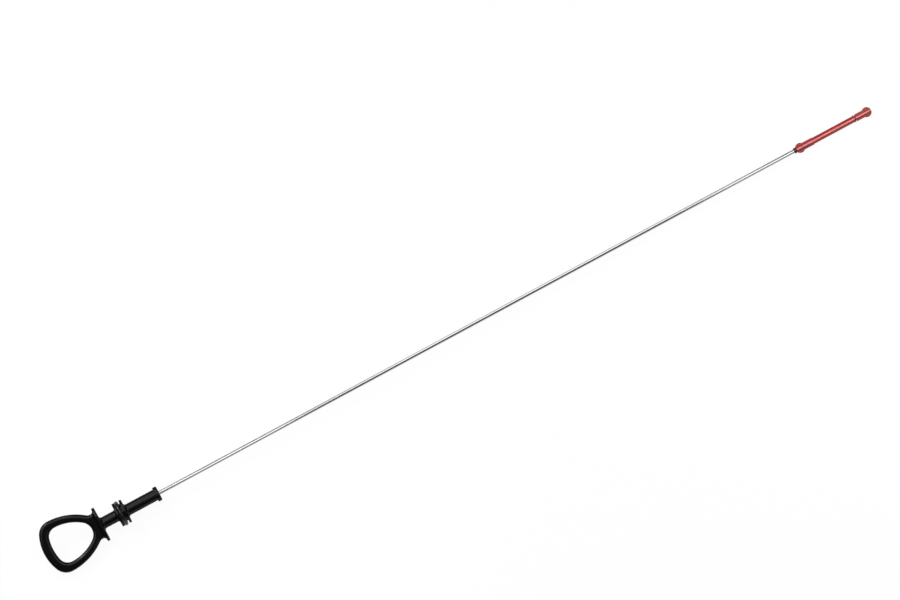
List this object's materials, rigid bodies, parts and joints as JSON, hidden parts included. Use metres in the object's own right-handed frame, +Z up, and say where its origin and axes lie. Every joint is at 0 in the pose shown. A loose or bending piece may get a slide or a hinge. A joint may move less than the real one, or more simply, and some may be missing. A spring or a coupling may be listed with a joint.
{
  "type": "engine oil dipstick",
  "caption": "Long slim oil level gauge: a finger-loop handle with a sealing plug, a straight steel wire and a finned red tip with upper and lower level marks.",
  "frame": {"origin": "centre of the bounding box at its base, on the surface that the dipstick lies on", "axes": "+X along the stick from the handle to the tip, +Z up from the surface that it lies on, and the finger loop's +Y side is the raised one"},
  "size_m": [0.5996, 0.0346, 0.0181],
  "materials": {
    "handle_plastic": "fine-grained moulded black",
    "seal_rubber": "smooth black, slightly glossy",
    "wire_steel": "bright drawn",
    "tip_plastic": "satin moulded red"
  },
  "bodies": {
    "root": {"handle": "handle_plastic", "seal_ring": "seal_rubber", "wire": "wire_steel", "gauge_tip": "tip_plastic"}
  },
  "joints": []
}
